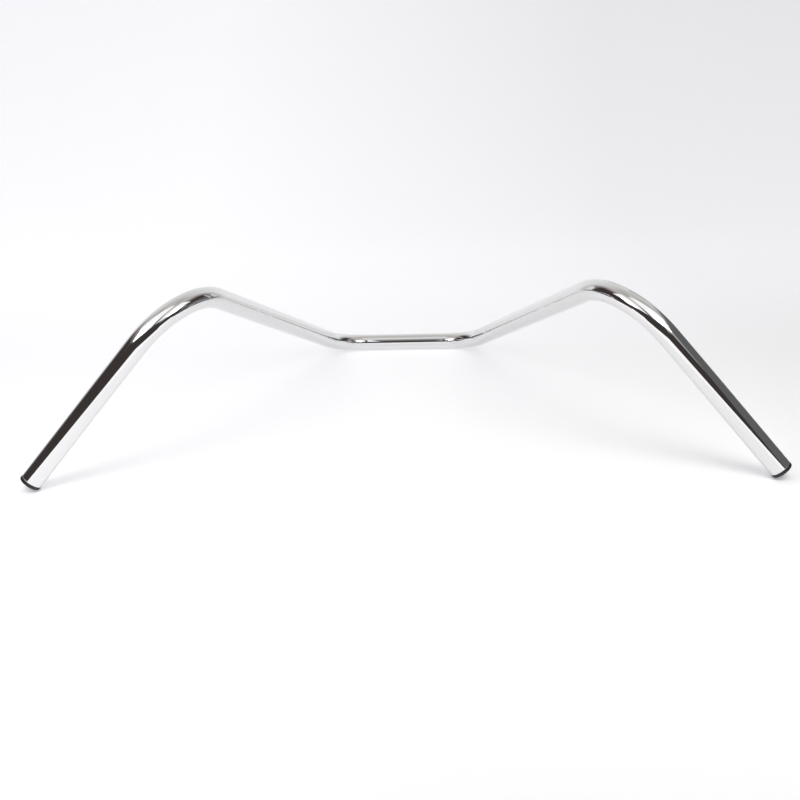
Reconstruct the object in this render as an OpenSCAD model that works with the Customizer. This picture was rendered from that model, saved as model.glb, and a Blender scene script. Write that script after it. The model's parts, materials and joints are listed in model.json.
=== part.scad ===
// Ape hanger handlebar: one bent, chromed steel tube with a black plastic plug in each end.
// The tube is drawn as it stands on the motorbike, with the clamp section along X, the risers
// going up +Z and the grips coming back along -Y, and is then laid down on its clamp section
// and its two ends. The origin stays at the centre of the clamp section.
// Each half is followed as a tube bender makes it, from the middle outwards: feed a straight
// length, bend, feed, turn the tube about itself, bend, feed.

/* [Tube] */
// Outside diameter of the tube
tube_d = 22.2; // [19:0.1:25.4]
// Wall thickness of the tube
wall = 2; // [1.2:0.1:3]
// Rounding of the tube's outer end edges
end_round = 1.4; // [0.3:0.1:1.6]
// Centreline radius of the two bends beside the clamp section
lower_bend_r = 55; // [40:1:80]
// Centreline radius of the two bends at the top of the risers
upper_bend_r = 80; // [50:1:95]

/* [Bar shape] */
// Distance between the two corners where the risers leave the clamp section
clamp_corner_w = 188; // [170:1:230]
// Height of the top corners over the clamp section
rise = 430; // [300:1:500]
// Distance between the two top corners
top_corner_w = 428; // [340:1:500]
// Distance between the centres of the tube's two ends
end_w = 752; // [640:1:860]
// How far the tube's ends come back from the risers
pullback = 190; // [150:1:240]
// How far the tube's ends lie below the top corners
drop = 36; // [0:1:80]

/* [End plugs] */
// Diameter of a plug's head, no more than the tube's so that a grip slides over it
plug_head_d = 22.2; // [20.6:0.1:25]
// Thickness of a plug's head at its rim
plug_head_t = 3.2; // [1.6:0.1:5]
// Rounding of the head's rim
plug_rim_round = 1.2; // [0.3:0.1:1.5]
// How far the middle of the head bulges out past its rim
plug_crown = 0.5; // [0.2:0.1:1.5]
// Depth of the plug's stem inside the tube
plug_stem_l = 20; // [14:1:35]
// Wall thickness of the hollow stem
plug_stem_wall = 1.6; // [1:0.1:2.5]
// Number of fins that hold the stem in the tube
plug_fins = 4; // [2:1:5]
// Thickness of a fin at its tip
plug_fin_t = 0.6; // [0.4:0.1:1.2]
// Height of a fin over the stem
plug_fin_h = 1.3; // [0.8:0.1:2]
// Gap between a fin and the bore
plug_gap = 0.05; // [0.02:0.01:0.15]

/* [Hidden] */
$fn = 96;

// The tube's section
tube_r = tube_d / 2;
bore_r = tube_r - wall;
edge_r = min(end_round, 0.75 * wall);

// How much thinner the wall is in a bend, on its outside and in its bore, and how far a bend's
// ends run into the straight tube
bend_thinning = 0.01;
bend_lap = 0.05;

// Corners and end of the right half of the centreline, as it stands on the motorbike
clamp_corner = [clamp_corner_w / 2, 0, 0];
top_corner = [top_corner_w / 2, 0, rise];
tube_end = [end_w / 2, -pullback, rise - drop];

// Directions of the three straight stretches, from the middle outwards
along_clamp = [1, 0, 0];
along_riser = unit(top_corner - clamp_corner);
along_arm = unit(tube_end - top_corner);

// What the bender does: two bends, and the turn of the tube about itself between them
lower_angle = turn(along_clamp, along_riser);
upper_angle = turn(along_riser, along_arm);
lower_bend_end = square_to(along_riser, -along_clamp);
upper_bend_start = square_to(along_riser, along_arm);
twist = atan2(cross(lower_bend_end, upper_bend_start) * along_riser,
    lower_bend_end * upper_bend_start);

// Straight lengths left between the bends
lower_cut = lower_bend_r * tan(lower_angle / 2);
upper_cut = upper_bend_r * tan(upper_angle / 2);
half_clamp = norm(clamp_corner) - lower_cut;
riser_straight = norm(top_corner - clamp_corner) - lower_cut - upper_cut;
arm_straight = norm(tube_end - top_corner) - upper_cut;

// The plug's own radii
head_r = plug_head_d / 2;
rim_r = min(plug_rim_round, 0.5 * plug_head_t);
fin_r = bore_r - plug_gap;
stem_r = fin_r - plug_fin_h;
stem_bore_r = stem_r - plug_stem_wall;

// The angle by which the bar leans back until its ends touch what its clamp section lies on
lay_angle = lean_between(10, 90, 40);

function unit(v) = v / norm(v);

// Angle between two directions
function turn(a, b) = acos(a * b);

// The part of a direction that is square to another, as a direction
function square_to(dir, v) = unit(v - (v * dir) * dir);

// Height of a point or a direction once the bar has leaned back by an angle
function leaned_z(v, lean) = v[1] * sin(lean) + v[2] * cos(lean);

// Lowest point of a rounded rim, at a distance past the tube's end, once the bar has leaned back
function rim_low(past_end, r, round_r, lean) =
    let (middle = tube_end + along_arm * (past_end - round_r))
    leaned_z(middle, lean) - round_r
    - (r - round_r) * sqrt(1 - pow(leaned_z(along_arm, lean), 2));

// How far the lowest rim still is above the underside of the clamp section
function end_clearance(lean) =
    tube_r + min(rim_low(plug_head_t, head_r, rim_r, lean), rim_low(0, tube_r, edge_r, lean));

// Halves the range in which the end clearance comes down to nothing
function lean_between(low, high, halvings) =
    let (middle = (low + high) / 2)
    halvings == 0 ? middle
    : end_clearance(middle) > 0 ? lean_between(middle, high, halvings - 1)
    : lean_between(low, middle, halvings - 1);

// Leans the standing bar back until it rests
module laid_down() {
    rotate([lay_angle, 0, 0]) children();
}

// Leads from the clamp section's centre outwards: the tube runs along Z and bends towards X
module from_middle() {
    rotate([0, 90, 0]) rotate([0, 0, 180]) children();
}

// Passes a straight length
module after_straight(length) {
    translate([0, 0, length]) children();
}

// Passes a bend towards X
module after_bend(angle, bend_r) {
    translate([bend_r, 0, 0]) rotate([0, angle, 0]) translate([-bend_r, 0, 0]) children();
}

// A straight stretch of tube along Z
module straight_tube(length) {
    rotate_extrude() translate([bore_r, 0]) square([wall, length]);
}

// The last straight stretch, with its outer end edge rounded
module rounded_end_tube(length) {
    rotate_extrude() translate([bore_r, 0]) {
        square([wall, length - edge_r]);
        square([wall - edge_r, length]);
        translate([wall - edge_r, length - edge_r]) intersection() {
            circle(edge_r);
            square(edge_r);
        }
    }
}

// A bend that starts along Z and turns towards X. Its wall is a hair thinner than the straight
// tube's and runs a little way into it at both ends, so the two never share a surface.
module bent_tube(angle, bend_r) {
    lap_angle = bend_lap / bend_r * 180 / PI;
    translate([bend_r, 0, 0]) rotate([90, 0, 180]) rotate([0, 0, -lap_angle])
        rotate_extrude(angle = angle + 2 * lap_angle, $fn = 240)
            translate([bend_r, 0]) difference() {
                circle(tube_r - bend_thinning);
                circle(bore_r + bend_thinning);
            }
}

// The right half of the tube, from the middle of the clamp section
module right_half() {
    from_middle() {
        straight_tube(half_clamp);
        after_straight(half_clamp) {
            bent_tube(lower_angle, lower_bend_r);
            after_bend(lower_angle, lower_bend_r) {
                straight_tube(riser_straight);
                after_straight(riser_straight) rotate([0, 0, twist]) {
                    bent_tube(upper_angle, upper_bend_r);
                    after_bend(upper_angle, upper_bend_r) rounded_end_tube(arm_straight);
                }
            }
        }
    }
}

// Carries the children to the right end of the tube, with Z pointing out of it
module at_right_end() {
    from_middle() after_straight(half_clamp) after_bend(lower_angle, lower_bend_r)
        after_straight(riser_straight) rotate([0, 0, twist])
            after_bend(upper_angle, upper_bend_r) after_straight(arm_straight) children();
}

module handlebar_tube() {
    color([0.80, 0.81, 0.82]) laid_down() {
        right_half();
        mirror([1, 0, 0]) right_half();
    }
}

// Half section of the plug's head: a disc with a rounded rim and a slightly bulging face
module head_profile() {
    flat_r = head_r - rim_r;
    crown_r = (flat_r * flat_r + plug_crown * plug_crown) / (2 * plug_crown);
    square([head_r, plug_head_t - rim_r]);
    square([flat_r, plug_head_t]);
    translate([flat_r, plug_head_t - rim_r]) circle(rim_r);
    intersection() {
        translate([0, plug_head_t + plug_crown - crown_r]) circle(crown_r, $fn = 360);
        translate([0, plug_head_t - rim_r]) square([flat_r, plug_crown + rim_r]);
    }
}

// Half section of the plug's hollow stem with its tapered fins
module stem_profile() {
    fin_pitch = plug_stem_l / plug_fins;
    translate([stem_bore_r, -plug_stem_l]) square([plug_stem_wall, plug_stem_l]);
    for (i = [0 : plug_fins - 1]) {
        top = -i * fin_pitch;
        polygon([
            [stem_r - plug_stem_wall / 2, top - 0.8 * fin_pitch],
            [stem_r, top - 0.8 * fin_pitch],
            [fin_r, top - plug_fin_t],
            [fin_r, top],
            [stem_r - plug_stem_wall / 2, top]
        ]);
    }
}

// A plug along Z, with the tube's end face at zero
module end_plug() {
    rotate_extrude() {
        head_profile();
        stem_profile();
    }
}

module left_end_plug() {
    color([0.06, 0.06, 0.07]) laid_down() mirror([1, 0, 0]) at_right_end() end_plug();
}

module right_end_plug() {
    color([0.06, 0.06, 0.07]) laid_down() at_right_end() end_plug();
}

handlebar_tube();
left_end_plug();
right_end_plug();
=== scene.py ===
"""Dresses the ape hanger handlebar: a chromed bent tube with black plugs, on white paper."""
import json
import math

import bpy
from mathutils import Matrix, Quaternion, Vector


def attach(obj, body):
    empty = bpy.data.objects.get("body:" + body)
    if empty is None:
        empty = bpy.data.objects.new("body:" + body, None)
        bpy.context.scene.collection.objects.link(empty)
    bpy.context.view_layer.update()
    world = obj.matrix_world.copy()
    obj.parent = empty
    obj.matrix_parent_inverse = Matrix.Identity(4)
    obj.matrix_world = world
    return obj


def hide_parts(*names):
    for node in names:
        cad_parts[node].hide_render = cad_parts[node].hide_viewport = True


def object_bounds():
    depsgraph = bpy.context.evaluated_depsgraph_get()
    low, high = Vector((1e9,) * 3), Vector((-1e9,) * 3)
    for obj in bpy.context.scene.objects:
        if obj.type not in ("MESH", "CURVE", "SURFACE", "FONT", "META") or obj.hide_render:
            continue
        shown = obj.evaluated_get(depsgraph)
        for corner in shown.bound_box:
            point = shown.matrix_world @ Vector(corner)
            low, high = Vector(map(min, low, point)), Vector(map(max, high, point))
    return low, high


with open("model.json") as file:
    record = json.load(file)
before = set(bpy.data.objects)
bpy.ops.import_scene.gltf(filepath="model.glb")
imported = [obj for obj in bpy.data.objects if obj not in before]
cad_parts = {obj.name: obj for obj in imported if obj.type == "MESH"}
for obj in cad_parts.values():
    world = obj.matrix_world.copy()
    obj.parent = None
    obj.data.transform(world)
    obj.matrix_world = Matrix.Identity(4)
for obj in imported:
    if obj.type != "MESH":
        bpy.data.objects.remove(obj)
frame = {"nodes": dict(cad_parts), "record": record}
cad_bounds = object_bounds()

# Driving sizes of the bar that the mounts don't hold, in metres
CLAMP_CORNER_X = 0.094
TOP_CORNER_X = 0.214
TUBE_WALL = 0.002
END_ROUND = 0.0014

# How finely the chromed tube is drawn
AROUND = 128
BEND_STEP = math.radians(1.5)
STRAIGHT_STEP = 0.012
ROUND_STEPS = 6

# The photograph's camera, in the bar's own frame
CAMERA_AT = Vector((0.0129795, -1.3423761, 0.4237169))
CAMERA_YAW = -0.0166
CAMERA_PITCH = 0.3641
CAMERA_ROLL = 0.0240
FOCAL_PIXELS = 993.694
PICTURE_PIXELS = 800
SENSOR_MM = 36.0

# The white paper that the bar lies on, and the surround that only the camera sees
FLOOR_Z = cad_bounds[0][2]
PAPER_HALF_W = 0.72
PAPER_FRONT_Y = -0.82
PAPER_BACK_Y = 0.90
SWEEP_RADIUS = 0.60
SWEEP_STEPS = 16
SWEEP_TOP_Z = 2.60
STAGE_REACH = 4.0

# The paper's glow as the camera and the chrome see it: how bright it is at each Y, and how
# much that changes from side to side for each metre of X. This is painted light: the changes
# along Y and the fall to the right stand in for how the room's light falls across the paper,
# and the glow that only the chrome sees is a painted reflection that brightens the paper there.
PAPER_GLOW_COLOUR = (0.94, 0.95, 1.0)
PAPER_CAMERA_GLOW = ((-1.0, 0.44), (-0.5, 0.35), (0.0, 0.46), (0.3, 0.57), (0.6, 0.62))
PAPER_CAMERA_TILT = -0.15
# Painted reflection: the paper's extra glow in the chrome, higher towards the back and on the left
PAPER_MIRROR_GLOW = ((-0.1, 0.35), (0.5, 0.48))
PAPER_MIRROR_TILT = -0.16
GLOW_REACH_X = 0.5
GLOW_REACH_Y = 1.0

# The paper's front edge, which only the chrome sees curling up: X, Y and height over the floor
PAPER_CURL = (
    (-0.72, -0.82, 0.090), (-0.26, -0.82, 0.075), (-0.11, -0.58, 0.092),
    (0.11, -0.58, 0.092), (0.26, -0.82, 0.075), (0.72, -0.82, 0.090),
)
CURL_GLOW = 1.20

# A level white card over each front corner of the paper, which only the chrome sees
WHITE_CARD_X = (0.08, 0.66)
WHITE_CARD_Y = (-1.15, -0.45)
WHITE_CARD_Z = 0.60
WHITE_CARD_GLOW = 1.15

# The upright cards, which only the chrome sees: where each one runs in X and Y, the Z of its
# lower and upper edge, and its glow
UPRIGHT_CARDS = {
    "grey_card_right": (((0.52, -1.42), (0.98, -1.08), (1.20, -0.70)), (0.52, 1.30), 0.42),
    "small_card_right": (((0.33, -0.15), (0.46, -0.15)), (0.14, 0.45), 0.55),
    "inner_card_right": (((0.26, -0.06), (0.46, -0.06)), (0.15, 0.36), 0.68),
    "inner_card_left": (((-0.55, -0.06), (-0.26, -0.06)), (0.12, 0.40), 0.80),
    "side_card_right": (((0.50, -0.62), (0.50, -0.04)), (FLOOR_Z, 0.36), 0.13),
}

# The pair of soft lights, given for the right one
SOFTBOX_AT = (0.42, -0.70, 0.56)
SOFTBOX_AIM = (0.36, -0.25, 0.05)
SOFTBOX_SIZE = (0.36, 0.40)
SOFTBOX_WATTS = 1.6

# The room's colour at each elevation in degrees, in zones from the front round to the back
DARK = (0.050, 0.042, 0.040)
FRONT_ZONE = (
    (-90, DARK), (20, DARK), (28, (0.09, 0.09, 0.09)), (39, (0.16, 0.16, 0.16)),
    (47, (0.32, 0.32, 0.32)), (54, (0.53, 0.53, 0.53)), (62, (0.77, 0.76, 0.75)),
    (70, (0.90, 0.89, 0.88)), (78, (0.80, 0.79, 0.78)), (90, (0.62, 0.60, 0.58)),
)
FRONT_SIDE_ZONE = (
    (-90, DARK), (28, DARK), (33, (0.33, 0.33, 0.34)), (40, (0.62, 0.62, 0.62)),
    (60, (0.70, 0.66, 0.64)), (90, (0.72, 0.70, 0.68)),
)
SIDE_ZONE = (
    (-90, DARK), (31, DARK), (38, (0.21, 0.17, 0.16)), (46, (0.43, 0.38, 0.37)),
    (55, (0.60, 0.57, 0.56)), (65, (0.52, 0.50, 0.49)), (76, (0.46, 0.44, 0.43)),
    (90, (0.62, 0.60, 0.58)),
)
BACK_ZONE = (
    (-90, (0.95, 0.95, 0.96)), (12, (0.93, 0.93, 0.94)), (37, (0.82, 0.82, 0.82)),
    (51, (0.76, 0.75, 0.74)), (63, (0.68, 0.66, 0.64)), (74, (0.57, 0.54, 0.52)),
    (90, (0.62, 0.60, 0.58)),
)
ROOM_ZONES = (FRONT_ZONE, FRONT_SIDE_ZONE, SIDE_ZONE, BACK_ZONE)

# Where each zone blends into the next, as the level part of a direction turns from the front
# (-1) to the back (1)
ROOM_TURNS = ((-0.90, -0.80), (-0.55, -0.42), (0.25, 0.80))


def mount(name):
    """The point, axis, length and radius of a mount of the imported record, in metres."""
    found = next(m for m in frame["record"]["mounts"] if m["name"] == name)
    dims = found["dims"]
    axis = Vector(found["axis"]).normalized()
    return Vector(found["pos_m"]), axis, dims["length_mm"] / 1000, dims["r_mm"] / 1000


def bend_points(corner, dir_in, dir_out, cut):
    """Points and directions round a bend that starts and ends at a distance from its corner."""
    angle = dir_in.angle(dir_out)
    radius = cut / math.tan(angle / 2)
    axis = dir_in.cross(dir_out).normalized()
    inward = axis.cross(dir_in)
    centre = corner - dir_in * cut + inward * radius
    steps = math.ceil(angle / BEND_STEP)
    points = []
    for i in range(steps + 1):
        turn = Quaternion(axis, angle * i / steps)
        points.append((centre - turn @ (inward * radius), turn @ dir_in))
    return points


def straight_points(start, end):
    """Points and directions along a straight stretch, without its two ends."""
    run = end - start
    steps = max(1, math.ceil(run.length / STRAIGHT_STEP))
    return [(start + run * i / steps, run.normalized()) for i in range(1, steps)]


def half_centreline():
    """The right half of the tube's centreline from the middle to the tube's end."""
    clamp_at, clamp_axis, clamp_length, _ = mount("clamp_seat")
    grip_at, arm, grip_length, _ = mount("right_grip_seat")
    clamp_end = clamp_at + clamp_axis * clamp_length / 2
    arm_start = grip_at - arm * grip_length / 2
    tube_end = grip_at + arm * (grip_length / 2 + END_ROUND)
    clamp_corner = clamp_at + clamp_axis * CLAMP_CORNER_X
    top_corner = arm_start + arm * (TOP_CORNER_X - arm_start.x) / arm.x
    riser = (top_corner - clamp_corner).normalized()
    lower_cut = (clamp_corner - clamp_end).length
    upper_cut = (arm_start - top_corner).length
    lower_bend = bend_points(clamp_corner, clamp_axis, riser, lower_cut)
    upper_bend = bend_points(top_corner, riser, arm, upper_cut)
    return (
        [(clamp_at, clamp_axis)]
        + straight_points(clamp_at, clamp_end)
        + lower_bend
        + straight_points(lower_bend[-1][0], upper_bend[0][0])
        + upper_bend
        + straight_points(arm_start, tube_end)
        + [(tube_end, arm)]
    )


def mirrored(point):
    """A point or direction of the right half, carried over to the left half."""
    return Vector((-point.x, point.y, point.z))


def whole_centreline():
    """The centreline from the left end to the right end."""
    right = half_centreline()
    left = [(mirrored(at), -mirrored(along)) for at, along in reversed(right[1:])]
    return left + right


def carried_frames(line):
    """A pair of directions across the tube at each point, carried along without twisting."""
    side = line[0][1].orthogonal().normalized()
    last = line[0][1]
    frames = []
    for at, along in line:
        side = last.rotation_difference(along) @ side
        side = (side - along * side.dot(along)).normalized()
        frames.append((at, along, side, along.cross(side)))
        last = along
    return frames


def tube_rings(line, tube_r):
    """Rings of the closed tube wall: the outside, the rounded ends, and back through the bore.

    Each ring has its frame, its shift along the tube, its radius, and its normal's slope away
    from straight out, with the end of the tube that it slopes towards.
    """
    frames = carried_frames(line)
    first, last = frames[0], frames[-1]
    inner = [f for f in frames if not at_an_end(f, first, last)]
    rounding = []
    for i in range(1, ROUND_STEPS + 1):
        slope = math.pi / 2 * i / ROUND_STEPS
        shift = END_ROUND * (1 - math.sin(slope))
        rounding.append((shift, tube_r - END_ROUND * (1 - math.cos(slope)), slope))
    rings = [(first, shift, radius, slope, -1) for shift, radius, slope in reversed(rounding)]
    rings.append((first, END_ROUND, tube_r, 0, 0))
    rings += [(f, 0, tube_r, 0, 0) for f in inner]
    rings.append((last, -END_ROUND, tube_r, 0, 0))
    rings += [(last, -shift, radius, slope, 1) for shift, radius, slope in rounding]
    bore_r = tube_r - TUBE_WALL
    return rings + [(f, 0, bore_r, math.pi, 0) for f in reversed([first] + inner + [last])]


def at_an_end(ring, first, last):
    """Whether a frame lies within the rounding of either end, or too near it for a ring."""
    near = END_ROUND * 1.5
    return (ring[0] - first[0]).length < near or (ring[0] - last[0]).length < near


def make_tube():
    """The chromed tube as one closed mesh with true normals."""
    tube_r = mount("clamp_seat")[3]
    points, normals = [], []
    rings = tube_rings(whole_centreline(), tube_r)
    for (at, along, side, other), shift, radius, slope, end in rings:
        for k in range(AROUND):
            turn = 2 * math.pi * k / AROUND
            out = side * math.cos(turn) + other * math.sin(turn)
            points.append(at + along * shift + out * radius)
            normals.append(out * math.cos(slope) + along * math.sin(slope) * end)
    faces = []
    for i in range(len(rings)):
        a, b = i * AROUND, (i + 1) % len(rings) * AROUND
        for k in range(AROUND):
            n = (k + 1) % AROUND
            faces.append((a + k, a + n, b + n, b + k))
    mesh = bpy.data.meshes.new("chromed_tube")
    mesh.from_pydata(points, [], faces)
    mesh.polygons.foreach_set("use_smooth", [True] * len(faces))
    mesh.normals_split_custom_set_from_vertices(normals)
    tube = bpy.data.objects.new("chromed_tube", mesh)
    bpy.context.scene.collection.objects.link(tube)
    return tube


def new_material(name):
    """A node material with its Principled shader, and its node and link lists."""
    material = bpy.data.materials.new(name)
    material.use_nodes = True
    nodes, links = material.node_tree.nodes, material.node_tree.links
    return material, nodes, links, nodes["Principled BSDF"]


def node(nodes, kind, **values):
    """A shader node with some of its inputs set by name, with underscores for spaces."""
    made = nodes.new(kind)
    for key, value in values.items():
        made.inputs[key.replace("_", " ")].default_value = value
    return made


def maths(nodes, links, operation, *values):
    """The result of a Math node whose values are either numbers or other nodes' results."""
    made = nodes.new("ShaderNodeMath")
    made.operation = operation
    for i, value in enumerate(values):
        if isinstance(value, bpy.types.NodeSocket):
            links.new(value, made.inputs[i])
        else:
            made.inputs[i].default_value = value
    return made.outputs["Value"]


def chrome_material():
    """Bright chrome plating: faint polish waves in its surface and slight smears in its gloss."""
    material, nodes, links, shader = new_material("chrome_plating")
    shader.inputs["Metallic"].default_value = 1.0
    where = nodes.new("ShaderNodeTexCoord")
    smears = node(nodes, "ShaderNodeTexNoise", Scale=28.0, Detail=4.0, Roughness=0.6)
    links.new(where.outputs["Object"], smears.inputs["Vector"])
    gloss = nodes.new("ShaderNodeMapRange")
    gloss.inputs["To Min"].default_value = 0.025
    gloss.inputs["To Max"].default_value = 0.065
    links.new(smears.outputs["Fac"], gloss.inputs["Value"])
    links.new(gloss.outputs["Result"], shader.inputs["Roughness"])
    tint = nodes.new("ShaderNodeMix")
    tint.data_type = "RGBA"
    tint.inputs["A"].default_value = (0.780, 0.785, 0.790, 1)
    tint.inputs["B"].default_value = (0.815, 0.815, 0.815, 1)
    links.new(smears.outputs["Fac"], tint.inputs["Factor"])
    links.new(tint.outputs["Result"], shader.inputs["Base Color"])
    waves = node(nodes, "ShaderNodeTexNoise", Scale=60.0, Detail=2.0)
    links.new(where.outputs["Object"], waves.inputs["Vector"])
    bump = node(nodes, "ShaderNodeBump", Strength=0.02, Distance=0.0002)
    links.new(waves.outputs["Fac"], bump.inputs["Height"])
    links.new(bump.outputs["Normal"], shader.inputs["Normal"])
    return material


def plug_material():
    """Black moulded plastic with a fine grain and worn, greyer patches."""
    material, nodes, links, shader = new_material("black_moulded_plastic")
    where = nodes.new("ShaderNodeTexCoord")
    patches = node(nodes, "ShaderNodeTexNoise", Scale=180.0, Detail=5.0, Roughness=0.6)
    links.new(where.outputs["Object"], patches.inputs["Vector"])
    tint = nodes.new("ShaderNodeMix")
    tint.data_type = "RGBA"
    tint.inputs["A"].default_value = (0.010, 0.010, 0.011, 1)
    tint.inputs["B"].default_value = (0.030, 0.030, 0.033, 1)
    links.new(patches.outputs["Fac"], tint.inputs["Factor"])
    links.new(tint.outputs["Result"], shader.inputs["Base Color"])
    gloss = nodes.new("ShaderNodeMapRange")
    gloss.inputs["To Min"].default_value = 0.38
    gloss.inputs["To Max"].default_value = 0.55
    links.new(patches.outputs["Fac"], gloss.inputs["Value"])
    links.new(gloss.outputs["Result"], shader.inputs["Roughness"])
    grain = node(nodes, "ShaderNodeTexNoise", Scale=2600.0, Detail=2.0)
    links.new(where.outputs["Object"], grain.inputs["Vector"])
    bump = node(nodes, "ShaderNodeBump", Strength=0.25, Distance=0.00005)
    links.new(grain.outputs["Fac"], bump.inputs["Height"])
    links.new(bump.outputs["Normal"], shader.inputs["Normal"])
    return material


def stage_mesh(name, points, faces, material):
    """A flat or swept piece of the stage, which is no part of the object."""
    mesh = bpy.data.meshes.new(name)
    mesh.from_pydata(points, [], faces)
    mesh.materials.append(material)
    mesh.polygons.foreach_set("use_smooth", [True] * len(faces))
    piece = bpy.data.objects.new(name, mesh)
    bpy.context.scene.collection.objects.link(piece)
    return piece


def paper_material():
    """Matt white paper that keeps its shadows, and glows a little to the camera and in chrome; the
    glow's changes from place to place are painted light, and in chrome a painted reflection.
    """
    material, nodes, links, shader = new_material("white_paper")
    shader.inputs["Base Color"].default_value = (0.92, 0.92, 0.92, 1)
    shader.inputs["Roughness"].default_value = 0.9
    shader.inputs["Specular IOR Level"].default_value = 0.0
    shader.inputs["Emission Color"].default_value = (*PAPER_GLOW_COLOUR, 1)
    rays = nodes.new("ShaderNodeLightPath")
    where = nodes.new("ShaderNodeTexCoord")
    place = nodes.new("ShaderNodeSeparateXYZ")
    links.new(where.outputs["Object"], place.inputs["Vector"])
    # Painted light for the camera and a painted reflection for the chrome, both varying with the
    # place on the paper
    camera_glow = glow_by_place(nodes, links, place, PAPER_CAMERA_GLOW, PAPER_CAMERA_TILT)
    mirror_glow = glow_by_place(nodes, links, place, PAPER_MIRROR_GLOW, PAPER_MIRROR_TILT)
    seen = maths(nodes, links, "MULTIPLY", rays.outputs["Is Camera Ray"], camera_glow)
    both = maths(nodes, links, "MULTIPLY_ADD", rays.outputs["Is Glossy Ray"], mirror_glow, seen)
    links.new(both, shader.inputs["Emission Strength"])
    return material


def glow_by_place(nodes, links, place, stops, tilt):
    """A glow that changes along Y, and tilts from side to side within its reach of the middle:
    painted light across the paper.
    """
    depth = node(nodes, "ShaderNodeMapRange", From_Min=-GLOW_REACH_Y, From_Max=GLOW_REACH_Y)
    links.new(place.outputs["Y"], depth.inputs["Value"])
    ramp = nodes.new("ShaderNodeValToRGB")
    elements = ramp.color_ramp.elements
    for i, (y, glow) in enumerate(stops):
        along = (y / GLOW_REACH_Y + 1) / 2
        stop = elements[i] if i < 2 else elements.new(along)
        stop.position = along
        stop.color = (glow, glow, glow, 1)
    links.new(depth.outputs["Result"], ramp.inputs["Fac"])
    aside = node(nodes, "ShaderNodeMapRange", From_Min=-GLOW_REACH_X, From_Max=GLOW_REACH_X,
        To_Min=-GLOW_REACH_X, To_Max=GLOW_REACH_X)
    links.new(place.outputs["X"], aside.inputs["Value"])
    return maths(nodes, links, "MULTIPLY_ADD", aside.outputs["Result"], tilt, ramp.outputs["Color"])


def glowing_material(name, glow):
    """A plain glowing surface, where a glow of 1 is white."""
    material, _, _, shader = new_material(name)
    shader.inputs["Base Color"].default_value = (0, 0, 0, 1)
    shader.inputs["Specular IOR Level"].default_value = 0.0
    shader.inputs["Emission Color"].default_value = (1, 1, 1, 1)
    shader.inputs["Emission Strength"].default_value = glow
    return material


def mirror_card(name, points, faces, glow):
    """A card that is seen in the chrome alone and neither lights nor shades anything."""
    card = stage_mesh(name, points, faces, glowing_material(name + "_face", glow))
    card.visible_camera = False
    card.visible_shadow = False
    card.visible_diffuse = False


def upright_card(name, path, bottom, glow):
    """A mirror card along a path, which gives X, Y and the Z of the upper edge at each corner."""
    points = [(x, y, z) for x, y, top in path for z in (bottom, top)]
    faces = [(2 * i, 2 * i + 2, 2 * i + 3, 2 * i + 1) for i in range(len(path) - 1)]
    mirror_card(name, points, faces, glow)


def strip(profile, x0, x1):
    """Points and faces of a Y and Z profile carried from one X to another."""
    points = [(x, y, z) for y, z in profile for x in (x0, x1)]
    faces = [(2 * i, 2 * i + 1, 2 * i + 3, 2 * i + 2) for i in range(len(profile) - 1)]
    return points, faces


def sweep_profile():
    """The surround behind the paper, from the floor up into the backdrop."""
    outline = [(PAPER_BACK_Y, FLOOR_Z)]
    for i in range(1, SWEEP_STEPS + 1):
        a = math.pi / 2 * i / SWEEP_STEPS
        z = FLOOR_Z + SWEEP_RADIUS * (1 - math.cos(a))
        outline.append((PAPER_BACK_Y + SWEEP_RADIUS * math.sin(a), z))
    return outline + [(PAPER_BACK_Y + SWEEP_RADIUS, SWEEP_TOP_Z)]


def make_cards():
    """The paper's curled front edge and the cards, all of them seen in the chrome alone."""
    curl = [(x, y, FLOOR_Z + height) for x, y, height in PAPER_CURL]
    upright_card("paper_curl", curl, FLOOR_Z, CURL_GLOW)
    (x0, x1), (y0, y1) = WHITE_CARD_X, WHITE_CARD_Y
    for side, name in ((1, "white_card_right"), (-1, "white_card_left")):
        corners = ((x0, y0), (x1, y0), (x1, y1), (x0, y1))
        points = [(side * x, y, WHITE_CARD_Z) for x, y in corners]
        mirror_card(name, points, [(0, 1, 2, 3)], WHITE_CARD_GLOW)
    for name, (path, (bottom, top), glow) in UPRIGHT_CARDS.items():
        upright_card(name, [(x, y, top) for x, y in path], bottom, glow)


def make_stage():
    """The paper and the cards that the chrome mirrors, and the surround for the camera."""
    paper = paper_material()
    front, back = (PAPER_FRONT_Y, FLOOR_Z), (PAPER_BACK_Y, FLOOR_Z)
    stage_mesh("paper", *strip([front, back], -PAPER_HALF_W, PAPER_HALF_W), paper)
    make_cards()
    surround = {
        "surround_left": ([front, back], -STAGE_REACH, -PAPER_HALF_W),
        "surround_right": ([front, back], PAPER_HALF_W, STAGE_REACH),
        "surround_front": ([(-STAGE_REACH, FLOOR_Z), front], -STAGE_REACH, STAGE_REACH),
        "backdrop": (sweep_profile(), -STAGE_REACH, STAGE_REACH),
    }
    for name, shape in surround.items():
        piece = stage_mesh(name, *strip(*shape), paper)
        piece.visible_glossy = False


def height_ramp(nodes, links, height, stops):
    """A colour by elevation in degrees, from a direction's upward part brought to 0 to 1."""
    ramp = nodes.new("ShaderNodeValToRGB")
    elements = ramp.color_ramp.elements
    for i, (degrees, colour) in enumerate(stops):
        place = (math.sin(math.radians(degrees)) + 1) / 2
        stop = elements[i] if i < 2 else elements.new(place)
        stop.position = place
        stop.color = (*colour, 1)
    links.new(height, ramp.inputs["Fac"])
    return ramp.outputs["Color"]


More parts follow.
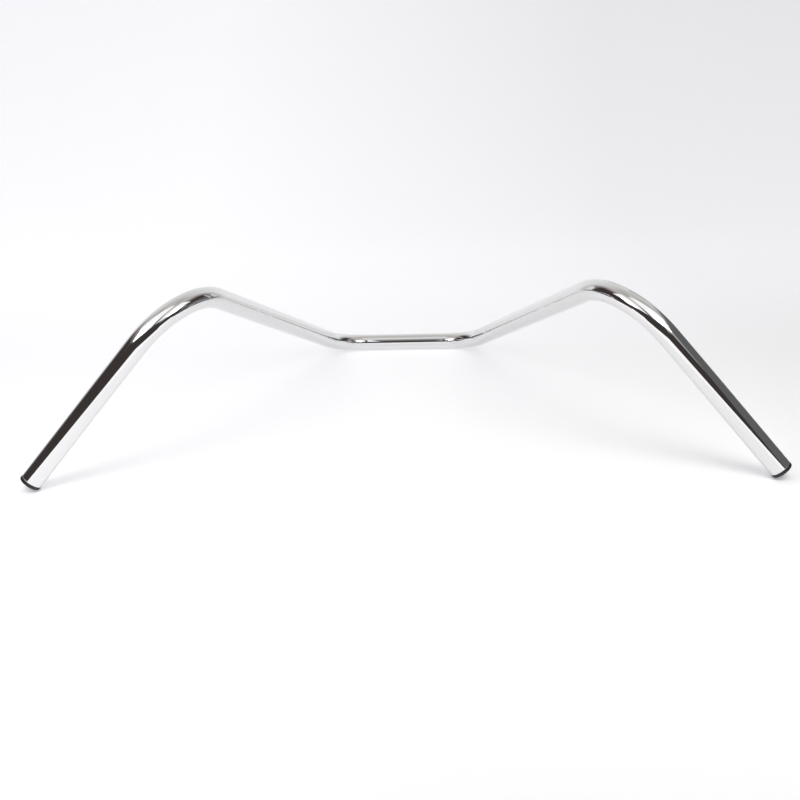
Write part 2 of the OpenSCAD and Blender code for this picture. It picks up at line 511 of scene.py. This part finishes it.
def zone_mix(nodes, links, facing, start, end, below, above):
    """Blends one zone of the room into the next as the direction turns."""
    share = nodes.new("ShaderNodeMapRange")
    share.interpolation_type = "SMOOTHSTEP"
    share.inputs["From Min"].default_value = start
    share.inputs["From Max"].default_value = end
    links.new(facing, share.inputs["Value"])
    mix = nodes.new("ShaderNodeMix")
    mix.data_type = "RGBA"
    links.new(share.outputs["Result"], mix.inputs["Factor"])
    links.new(below, mix.inputs["A"])
    links.new(above, mix.inputs["B"])
    return mix.outputs["Result"]


def make_world():
    """The room: light behind, dark walls low down at the front and sides, and a pale ceiling."""
    world = bpy.data.worlds.new("room")
    world.use_nodes = True
    nodes, links = world.node_tree.nodes, world.node_tree.links
    where = nodes.new("ShaderNodeTexCoord")
    parts = nodes.new("ShaderNodeSeparateXYZ")
    links.new(where.outputs["Generated"], parts.inputs["Vector"])
    flat = nodes.new("ShaderNodeCombineXYZ")
    links.new(parts.outputs["X"], flat.inputs["X"])
    links.new(parts.outputs["Y"], flat.inputs["Y"])
    level = nodes.new("ShaderNodeVectorMath")
    level.operation = "NORMALIZE"
    links.new(flat.outputs["Vector"], level.inputs[0])
    turned = nodes.new("ShaderNodeSeparateXYZ")
    links.new(level.outputs["Vector"], turned.inputs["Vector"])
    raised = maths(nodes, links, "MULTIPLY_ADD", parts.outputs["Z"], 0.5, 0.5)
    zones = [height_ramp(nodes, links, raised, stops) for stops in ROOM_ZONES]
    colour = zones[0]
    for (start, end), zone in zip(ROOM_TURNS, zones[1:]):
        colour = zone_mix(nodes, links, turned.outputs["Y"], start, end, colour, zone)
    links.new(colour, nodes["Background"].inputs["Color"])
    bpy.context.scene.world = world


def softbox(name, at, aim):
    """A rectangular soft light that faces a point."""
    light = bpy.data.lights.new(name, "AREA")
    light.shape = "RECTANGLE"
    light.size, light.size_y = SOFTBOX_SIZE
    light.energy = SOFTBOX_WATTS
    lamp = bpy.data.objects.new(name, light)
    lamp.location = at
    lamp.rotation_euler = (Vector(at) - Vector(aim)).to_track_quat("Z", "Y").to_euler()
    bpy.context.scene.collection.objects.link(lamp)


def make_lights():
    """Two soft lights above the front corners of the paper."""
    for side, name in ((1, "softbox_right"), (-1, "softbox_left")):
        at, aim = ((side * x, y, z) for x, y, z in (SOFTBOX_AT, SOFTBOX_AIM))
        softbox(name, at, aim)


def make_camera():
    """The photograph's camera: forward, right and down from its yaw, pitch and roll."""
    sin_yaw, cos_yaw = math.sin(CAMERA_YAW), math.cos(CAMERA_YAW)
    sin_pitch, cos_pitch = math.sin(CAMERA_PITCH), math.cos(CAMERA_PITCH)
    forward = Vector((sin_yaw * cos_pitch, cos_yaw * cos_pitch, -sin_pitch))
    level = Vector((cos_yaw, -sin_yaw, 0))
    below = forward.cross(level)
    right = level * math.cos(CAMERA_ROLL) + below * math.sin(CAMERA_ROLL)
    down = below * math.cos(CAMERA_ROLL) - level * math.sin(CAMERA_ROLL)
    turn = Matrix((right, -down, -forward)).transposed().to_4x4()
    data = bpy.data.cameras.new("camera")
    data.sensor_width = SENSOR_MM
    data.lens = FOCAL_PIXELS * SENSOR_MM / PICTURE_PIXELS
    camera = bpy.data.objects.new("camera", data)
    camera.matrix_world = Matrix.Translation(CAMERA_AT) @ turn
    bpy.context.scene.collection.objects.link(camera)
    bpy.context.scene.camera = camera


def dress_tube():
    """The chromed tube, in place of the faceted one from the pack."""
    tube = make_tube()
    tube.data.materials.append(chrome_material())
    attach(tube, "root")
    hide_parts("handlebar_tube")


def dress_plugs():
    """The plugs keep their own shape and get a plastic finish."""
    plastic = plug_material()
    for name in ("left_end_plug", "right_end_plug"):
        for place in frame["nodes"][name].material_slots:
            place.material = plastic


dress_tube()
dress_plugs()
make_stage()
make_world()
make_lights()
make_camera()

bpy.context.scene.view_settings.view_transform = "Standard"
